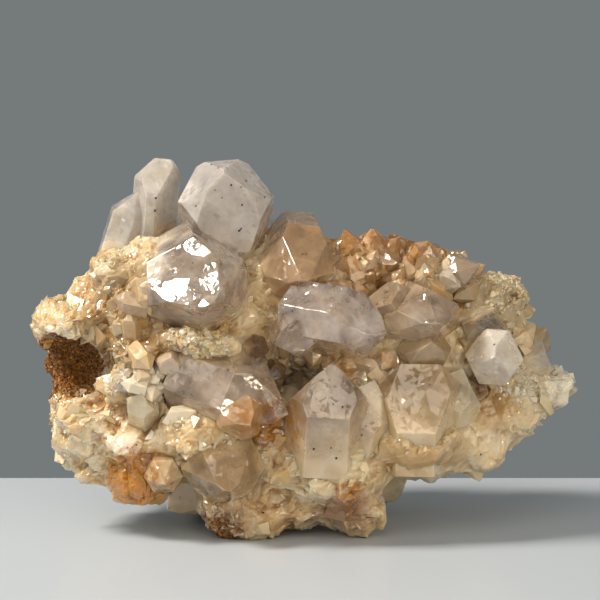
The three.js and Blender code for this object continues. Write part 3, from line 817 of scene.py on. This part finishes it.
toneSpots = (  # shade last
    (-33, -18, 43, 14, 1, "#96733f"), (-26, -20, 40, 6, 0.5, "#c2a478"), (8, -20, 6, 8, 0.9, "#946638"),
    (14, -19, 8, 6, 0.5, "#b08a5c"), (22, -18, 17, 12, 0.8, "#b48e50"), (50, -2, 28, 8, 0.8, "#f2ecdc"),
    (-14, -20, 9, 9, 0.7, "#a88458"), (-31, -19, 10, 9, 1, "#b0760c"), (9, -7, 52, 9, 0.7, "#c08f55"),
    (17, -4, 54, 9, 0.8, "#bd8850"), (25, -2, 54, 9, 0.8, "#c08f55"), (33, -4, 51, 7, 0.5, "#c9a878"),
    (13, -9, 48, 6, 0.5, "#c9a272"), (-31, -21, 30, 8, 0.7, "#ece5d8"),
    (-33.7, -21, 19.3, 4, 0.8, "#f1ebe2"), (-34, -19.5, 35.4, 5, 0.5, "#e6dccb"),
    (-24, -21, 35, 5, 0.7, "#d3b8a8"), (24, -16, 13, 10, 0.6, "#dccdb0"), (44, -5, 28, 9, 0.6, "#ddd6c2"),
    # The two #8a6a48 spots are painted shade at the back and roof of the centre cave
    (39, -8, 47, 9, 0.8, "#a09070"), (-0.6, -8, 33, 8, 0.8, "#8a6a48"),
    (3.3, -13.7, 35.7, 4, 0.6, "#8a6a48"), (7, -22, 8, 6, 0.5, "#b9a184"),
    (-14, -20, 11, 6, 0.4, "#cbb593"), (-37, -12, 54, 5, 0.4, "#dcc28a"),
    (29, -8.3, 49.4, 3, 0.8, "#f0eae2"),
)
recessShade = dict(rounds=24, depth=0.6)  # a dip this deep under the smoothed skin, in mm, is fully dark


def setTone(mesh, tones):
    layer = mesh.attributes.new("tone", "FLOAT_COLOR", "POINT")
    layer.data.foreach_set("color", tones.astype(np.float32).ravel())


def toneAt(places):
    tones = np.zeros((len(places), 4))
    for x, y, z, radius, strength, shade in toneSpots:
        cover = softSpots(places, ((x, y, z, radius, strength),))
        stronger = cover > tones[:, 3]
        tones[stronger, :3] = colour(shade)[:3]
        tones[:, 3] = np.maximum(tones[:, 3], cover)
    return tones


def paintBody():
    mesh = body.data
    here = cornersOf(mesh)
    normals = normalsOf(mesh)
    # Painted shade: corners that lie below the smoothed skin are darkened through the hollow mask
    flat = smoothed(mesh, here, recessShade["rounds"])
    depth = ((flat - here) * normals).sum(1)
    setMask(mesh, "hollow", depth / recessShade["depth"])
    for kind, spots in ironSpots.items():
        setMask(mesh, kind, softSpots(here, spots))
    setMask(mesh, "milk", np.ones(len(here)))
    setTone(mesh, toneAt(here))


def skinOf(piece):
    mesh = piece.data
    return BVHTree.FromPolygons([v.co for v in mesh.vertices], [p.vertices for p in mesh.polygons])


def paintPoints():
    mesh = quartzPoints.data
    here = cornersOf(mesh)
    skin = skinOf(body)
    away = np.array([skin.find_nearest(Vector(p))[3] for p in here])
    signed = np.stack([(here @ normals.T - offsets).max(1) for normals, offsets in pointShapes])
    owner = np.abs(signed).argmin(0)
    names = [*points, *["stub"] * len(skinStubs)]
    looks = [(*pointTints.get(name, plainPoint), tintStrengths.get(name, 1.0)) for name in names]
    tints = np.array([colour(shade)[:3] + (strength,) for shade, _, strength in looks])
    milk = np.array([own for _, own, _ in looks])[owner]
    reach = np.array([longRoots.get(name, pointFinish["rootMilk"]) for name in names])[owner]
    root = np.clip(1 - away / reach, 0, 1)
    setMask(mesh, "milk", milk + (1 - milk) * root)
    tones = tints[owner]
    tones[:, 3] *= 1 - pointFinish["rootTint"] * root
    setTone(mesh, tones)
    for kind, spots in ironSpots.items():
        setMask(mesh, kind, softSpots(here, spots) * pointFinish["ironShare"])


paintBody()
paintPoints()
print("masks painted")

# Grains and small crystals that cover the base, each kind joined in one mesh. Radii in mm, sink in radii.
grainKinds = {
    "blockyGrains": dict(
        count=1050, radii=(1.1, 3.0), sink=0.76, seed=502, milk=(0.7, 1.0),
        shades=("#f1e6ce", "#e9d6ad", "#dfc48e", "#eedcb8", "#d9b57c"),
    ),
    "sugaryGrains": dict(
        count=2200, radii=(0.4, 1.0), sink=0.35, seed=501, milk=(0.85, 1.0),
        shades=("#f2ece2", "#e6d9bd", "#dcc596", "#ecdfc6", "#d8b884"),
        near=(
            (-31, -21, 30, 8, 1), (-34, -19, 36, 6, 0.6), (-20, -23, 38.5, 9, 0.8), (-33, -18, 45, 7, 0.8),
            (-38, -12, 54, 6, 0.6), (-12, -20, 20, 8, 0.7), (-44, -8, 22, 8, 0.8), (44, -5, 28, 9, 0.7),
            (38, -6, 47, 7, 0.5), (-16, -16, 6, 8, 0.7), (0, 22, 40, 14, 0.5), (-38, 10, 30, 10, 0.5),
            (30, 16, 30, 12, 0.5),
        ),
    ),
    "smallCrystals": dict(
        count=330, radii=(1.0, 2.4), shape="point", sink=0.2, seed=503, milk=(0.2, 0.8),
        shades=("#d6ad78", "#c6955c", "#e0c49a", "#ead9bc", "#d3aa72"),
        near=((9, -7, 53, 9, 1), (20, -4, 54, 10, 1), (29, -5, 51, 6, 1)),
    ),
    "paleCrystals": dict(
        count=240, radii=(0.7, 1.8), shape="point", sink=0.2, seed=505, milk=(0.6, 1.0),
        shades=("#efe3cc", "#e2cc9f", "#ecdcc0", "#dbbd8a"),
        near=(
            (-31, -21, 30, 6, 0.3), (-33, -18, 45, 7, 0.4), (-1, -9, 33, 8, 0.6), (39, -4, 44, 6, 0.4),
            (0, 22, 40, 12, 0.4), (-38, 10, 30, 9, 0.3), (16, -14, 31, 6, 0.5),
        ),
    ),
    "ironCrust": dict(
        count=2600, radii=(0.25, 0.6), sink=0.0, seed=504, milk=(1.0, 1.0),
        shades=("#7a4a12", "#8c5812", "#5f3a10", "#94601a", "#6e4412"),
        near=((-46, -3, 33, 9, 1), (-44, -4, 31, 8, 1), (-16, -16.5, 2, 5, 0.3)),
    ),
}


grainlessSpots = (*smoothSpots, (-46, -3, 33, 12, 1), (18, -4, 54, 13, 1))  # no blocky grains here
grainShape = dict(shapes=10, corners=9, roughness=(0.8, 1.1), fewLarge=1.8, lowest=1.5, stretch=(0.75, 0.6))
crystalShape = dict(length=3.2, tip=1.6, lean=0.35, stretch=(0.8, 0.5))  # in radii
anyWay = 3.0  # a lean so strong that grains point anywhere
leastOf = dict(tint=0.6, ochre=0.5, rust=0.6)  # a grain takes at least this share of each
strongTone = 0.3  # from here on, grains take over the base's own shade


def meshFrom(name, corners, triangles):
    mesh = bpy.data.meshes.new(name)
    mesh.from_pydata(corners.tolist(), [], triangles.tolist())
    mesh.shade_flat()
    return makeObject(name, mesh)


def arraysOf(bm):
    bmesh.ops.triangulate(bm, faces=list(bm.faces))
    bm.verts.index_update()
    corners = np.array([v.co for v in bm.verts])
    triangles = np.array([[v.index for v in face.verts] for face in bm.faces])
    bm.free()
    return corners, triangles


def makeGrain(random):
    reach = grainShape["roughness"]
    return hullOf([randomDirection(random) * random(*reach) for _ in range(grainShape["corners"])])


def makeSmallCrystal(random):
    tip = (0, 0, crystalShape["tip"])
    ends = [random(0, 1) for _ in range(6)]
    return solidBehind(*crystalPlanes(**crystal(tip, (0, 0, 1), 1, crystalShape["length"], 0, ends=ends)))


nearlyUpright = 0.9  # an axis this near to z takes x as its helper


def turned(axes, spin):  # rotation matrices that bring z onto each axis, then spin about it
    helper = np.where(np.abs(axes[:, 2:]) > nearlyUpright, np.array((1.0, 0, 0)), np.array((0, 0, 1.0)))
    u = np.cross(helper, axes)
    u /= np.linalg.norm(u, axis=1)[:, None]
    v = np.cross(axes, u)
    c, s = np.cos(spin)[:, None], np.sin(spin)[:, None]
    return np.stack([u * c + v * s, v * c - u * s, axes], 2)


def buildGrains(name, count, radii, sink, seed, milk, shades, shape="grain", near=None):
    chance = np.random.default_rng(seed)
    pointed = shape == "point"
    corners = cornersOf(body.data)
    body.data.calc_loop_triangles()
    triangles = np.empty(len(body.data.loop_triangles) * 3, np.int32)
    body.data.loop_triangles.foreach_get("vertices", triangles)
    abc = corners[triangles.reshape(-1, 3)]
    middle = abc.mean(1)
    cross = np.cross(abc[:, 1] - abc[:, 0], abc[:, 2] - abc[:, 0])
    weight = np.linalg.norm(cross, axis=1)
    facing = cross / (weight[:, None] + 1e-12)  # keeps an empty triangle from dividing by zero
    if near is None:
        weight = weight * (1 - softSpots(middle, grainlessSpots)) * (middle[:, 2] > grainShape["lowest"])
    else:
        weight = weight * softSpots(middle, near)
    picked = chance.choice(len(abc), count, p=weight / weight.sum())
    radius = radii[0] + (radii[1] - radii[0]) * chance.random(count) ** grainShape["fewLarge"]
    axes = facing[picked] + chance.normal(0, crystalShape["lean"] if pointed else anyWay, (count, 3))
    axes /= np.linalg.norm(axes, axis=1)[:, None]
    place = middle[picked] - facing[picked] * (radius * sink)[:, None]
    turn = turned(axes, chance.random(count) * 2 * math.pi)
    least, play = grainShape["stretch"]
    stretch = radius[:, None] * (least + play * chance.random((count, 3)))
    if pointed:
        least, play = crystalShape["stretch"]
        stretch = radius[:, None] * (least + play * chance.random((count, 1)))
    random = makeRandom(seed)
    make = makeSmallCrystal if pointed else makeGrain
    shapes = [arraysOf(make(random)) for _ in range(grainShape["shapes"])]
    allCorners, allTriangles, owner, start = [], [], [], 0
    for index, (own, faces) in enumerate(shapes):
        these = np.arange(index, count, len(shapes))
        scaled = own[None] * stretch[these][:, None]
        put = np.einsum("nij,nkj->nki", turn[these], scaled) + place[these][:, None]
        allCorners.append(put.reshape(-1, 3))
        steps = start + np.arange(len(these))[:, None, None] * len(own)
        allTriangles.append((faces[None] + steps).reshape(-1, 3))
        owner.append(np.repeat(these, len(own)))
        start += len(these) * len(own)
    allCorners = np.clip(np.concatenate(allCorners), lowest, highest)
    owner = np.concatenate(owner)
    piece = meshFrom(name, allCorners, np.concatenate(allTriangles))
    mesh = piece.data
    own = np.array([colour(shade) for shade in shades])[chance.integers(0, len(shades), count)]

    def share(kind):
        return leastOf[kind] + (1 - leastOf[kind]) * chance.random(count)

    own[:, 3] = share("tint")
    tone = toneAt(place)
    toned = (tone[:, 3] > strongTone)[:, None]
    if near is None:
        own = np.where(toned, tone, own)
    elif name != "ironCrust":
        own[:, :3] = np.where(toned, (own[:, :3] + tone[:, :3]) / 2, own[:, :3])
    setTone(mesh, own[owner])
    setMask(mesh, "milk", (milk[0] + (milk[1] - milk[0]) * chance.random(count))[owner])
    for kind, spots in ironSpots.items():
        setMask(mesh, kind, (softSpots(place, spots) * share(kind))[owner])
    return piece


grains = {name: buildGrains(name, **kind) for name, kind in grainKinds.items()}
print("grains", {name: len(piece.data.polygons) for name, piece in grains.items()})

# Black iron oxide, goethite for the most part: dull specks about half a millimetre across that sit half sunk
# in the faces and show as sharp dark dots. Some have set places, the rest lie by chance.
speckPlaces = (
    (-11, -10.2, 69.2), (-13.8, -13.8, 68.5), (-11.9, -13.5, 68.1), (-16.9, -13.8, 67.5), (-15.6, -13, 66),
    (-11.8, -12, 64.6), (-20.7, -11.8, 64.4), (-12, -10, 59.9), (-12.4, -9.9, 59.5), (-0.2, -14.2, 55.3),
    (0.6, -14, 55.3), (-17.9, -23.9, 44.2), (5.6, -26.2, 27.9), (7.3, -26.5, 27.4), (11.9, -22.8, 23.2),
    (11.1, -22.6, 21.5), (2, -26.3, 19.4), (5.2, -26.3, 19.6), (6.2, -25.9, 17.6), (24.1, -20.1, 30.7),
    (-17, -22.9, 39), (-15.5, -21.8, 38.9), (-14.1, -24.4, 34.1), (-13.2, -22.8, 34.5), (-31.9, -19.5, 19.1),
    (-33.4, -20.7, 18.7),
)
speckLook = dict(
    seed=606, shapeSeed=900, shade="#1e1812", roughness=0.45, radii=(0.2, 0.36), byChance=90, sink=0.4,
    width=(0.8, 1.3), corners=9,
)


def buildSpecks():
    random = makeRandom(speckLook["seed"])
    skins = [skinOf(body), skinOf(quartzPoints)]
    some = [piece.data.vertices for piece in (body, quartzPoints)]
    places = [Vector(place) for place in speckPlaces]
    for index in range(speckLook["byChance"]):
        places.append(some[index % 2][int(random(0, len(some[index % 2])))].co.copy())
    whole = bmesh.new()
    for index, place in enumerate(places):
        spot, facing, *_ = min((skin.find_nearest(place) for skin in skins), key=lambda found: found[3])
        size = random(*speckLook["radii"])
        at = spot - facing * size * speckLook["sink"]
        stretch = (size * random(*speckLook["width"]), size * random(*speckLook["width"]), size)
        addTo(whole, boulder(at, stretch, seed=speckLook["shapeSeed"] + index, corners=speckLook["corners"]))
    return objectFrom("blackSpecks", whole)


specks = buildSpecks()
print("specks", len(specks.data.polygons))

# Healed cracks inside the clear points: how many, and how large in mm
veilCounts = dict(
    window=(14, 2.6), frosted=(14, 2.6), cloudy=(9, 2), ochre=(8, 2), lilac=(18, 2.8), mauve=(6, 1.6),
    rimmed=(14, 2.6), rimmedNeighbour=(6, 1.8), streaky=(9, 2), white=(6, 1.8), milkyTip=(21, 3.2),
    milkySide=(8, 2.2), smoothMilky=(10, 2.6), lilacSheen=(15, 2.8), brownFacet=(9, 2.4), farRight=(4, 1.5),
)
veilShape = dict(
    seed=808, tries=2000, depth=(0.15, 1.1), leastRoom=0.7, fills=0.92, size=(0.6, 1), corners=18,
    edge=(0.6, 1), bend=(0.02, 0.1), thickness=0.02,
)  # depth in the point's radii, room and half thickness in mm


def addVeil(whole, place, size, random):  # a thin, slightly bent sheet with two sides
    corners = veilShape["corners"]
    rim = []
    for corner in range(corners):
        angle = 2 * math.pi * corner / corners
        reach = size * random(*veilShape["edge"])
        rim.append(whole.verts.new(place @ Vector((reach * math.cos(angle), reach * math.sin(angle), 0))))
    bend = size * random(*veilShape["bend"])
    upper = whole.verts.new(place @ Vector((0, 0, bend + veilShape["thickness"])))
    lower = whole.verts.new(place @ Vector((0, 0, bend - veilShape["thickness"])))
    for corner in range(corners):
        first, second = rim[corner], rim[(corner + 1) % corners]
        whole.faces.new((first, second, upper))
        whole.faces.new((second, first, lower))


def buildVeils():
    random = makeRandom(veilShape["seed"])
    whole = bmesh.new()
    for name, (count, largest) in veilCounts.items():
        normals, offsets = crystalPlanes(**points[name])
        top = np.array(points[name]["tip"], float)
        along = np.array(points[name]["axis"], float)
        along /= np.linalg.norm(along)
        radius = points[name]["radius"]
        made = 0
        for _ in range(veilShape["tries"]):
            if made == count:
                break
            way = np.array(randomDirection(random)) * radius * random(0, 1)
            spot = top - along * random(*veilShape["depth"]) * radius + way
            room = -(normals @ spot - offsets).max()
            if room < veilShape["leastRoom"]:
                continue
            size = min(largest, room * veilShape["fills"]) * random(*veilShape["size"])
            turn = Vector(randomDirection(random)).to_track_quat("Z", "Y").to_matrix().to_4x4()
            addVeil(whole, Matrix.Translation(spot) @ turn, size, random)
            made += 1
    return objectFrom("healedCracks", whole)


veils = buildVeils()
print("veils", len(veils.data.polygons))

toFrame = Matrix.Diagonal((millimetre,) * 3 + (1,)) @ Matrix.Translation(listToFrame)
finishPiece(body, makeQuartz("brokenMassiveQuartz", brokenLook))
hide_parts("quartz_cluster")
finishPiece(quartzPoints, makeQuartz("grownQuartz", grownLook))
grainQuartz = makeQuartz("sugaryQuartzGrains", grainLook)
crust = makeCrust()
for name, piece in grains.items():
    finishPiece(piece, crust if name == "ironCrust" else grainQuartz)
finishPiece(veils, makeVeil())
finishPiece(specks, makePlain("blackIronOxide", speckLook["shade"], speckLook["roughness"]))
print("pieces in the frame")

# A pale painted board, smooth enough to show a faint sheen under the cluster, and a plain grey room.
# Light from a window at the upper left, a wide sky in front, and low warm light from the right.
stageLook = dict(
    floor="#b4bdc8", floorRoughness=0.35, wall="#757a7b", daylight="#fff4e4", lowSun="#ffebcc",
    corners=((-0.8, -0.6), (0.8, -0.6), (0.8, 0.051), (-0.8, 0.051)), centre=(-0.01, -0.01, 0.045),
)
lights = {  # place, width and height in m, watts, shade
    "window": ((-0.525, -0.13, 0.655), (0.2, 0.26), 9.5, "daylight"),
    "sky": ((-0.35, -0.95, 0.75), (1.1, 0.8), 6.5, "daylight"),
    "fill": ((0.75, -0.5, 0.35), (0.6, 0.6), 2.3, "lowSun"),
    "lamp": ((0.41, -0.8, 0.17), (0.16, 0.16), 1.6, "lowSun"),
}
cameraLook = dict(aim=(-0.0006, 0, 0.0451), distance=0.4, elevation=5, lens=120, sensor=36, nearest=0.01)


def addLight(name, place, size, watts, shade):
    light = bpy.data.lights.new(name, "AREA")
    light.shape = "RECTANGLE"
    light.size, light.size_y = size
    light.energy = watts
    light.color = colour(stageLook[shade])[:3]
    lamp = makeObject(name, light)
    lamp.location = place
    way = Vector(stageLook["centre"]) - Vector(place)
    lamp.rotation_euler = way.to_track_quat("-Z", "Y").to_euler()


def addCamera():
    camera = makeObject("camera", bpy.data.cameras.new("camera"))
    camera.data.lens = cameraLook["lens"]
    camera.data.sensor_width = cameraLook["sensor"]
    camera.data.clip_start = cameraLook["nearest"]
    up = math.radians(cameraLook["elevation"])
    back = Vector((0, -math.cos(up), math.sin(up)))
    camera.location = Vector(cameraLook["aim"]) + back * cameraLook["distance"]
    camera.rotation_euler = (-back).to_track_quat("-Z", "Y").to_euler()
    bpy.context.scene.camera = camera


def buildStage():
    floor = bmesh.new()
    for x, y in stageLook["corners"]:
        floor.verts.new((x, y, 0))
    floor.faces.new(floor.verts)
    board = objectFrom("floor", floor)
    board.data.materials.append(makePlain("paleBoard", stageLook["floor"], stageLook["floorRoughness"]))
    world = bpy.data.worlds.new("room")
    bpy.context.scene.world = world
    world.use_nodes = True
    world.node_tree.nodes["Background"].inputs[0].default_value = colour(stageLook["wall"])
    bpy.context.scene.view_settings.view_transform = "Standard"
    for name, (place, size, watts, shade) in lights.items():
        addLight(name, place, size, watts, shade)


buildStage()
addCamera()
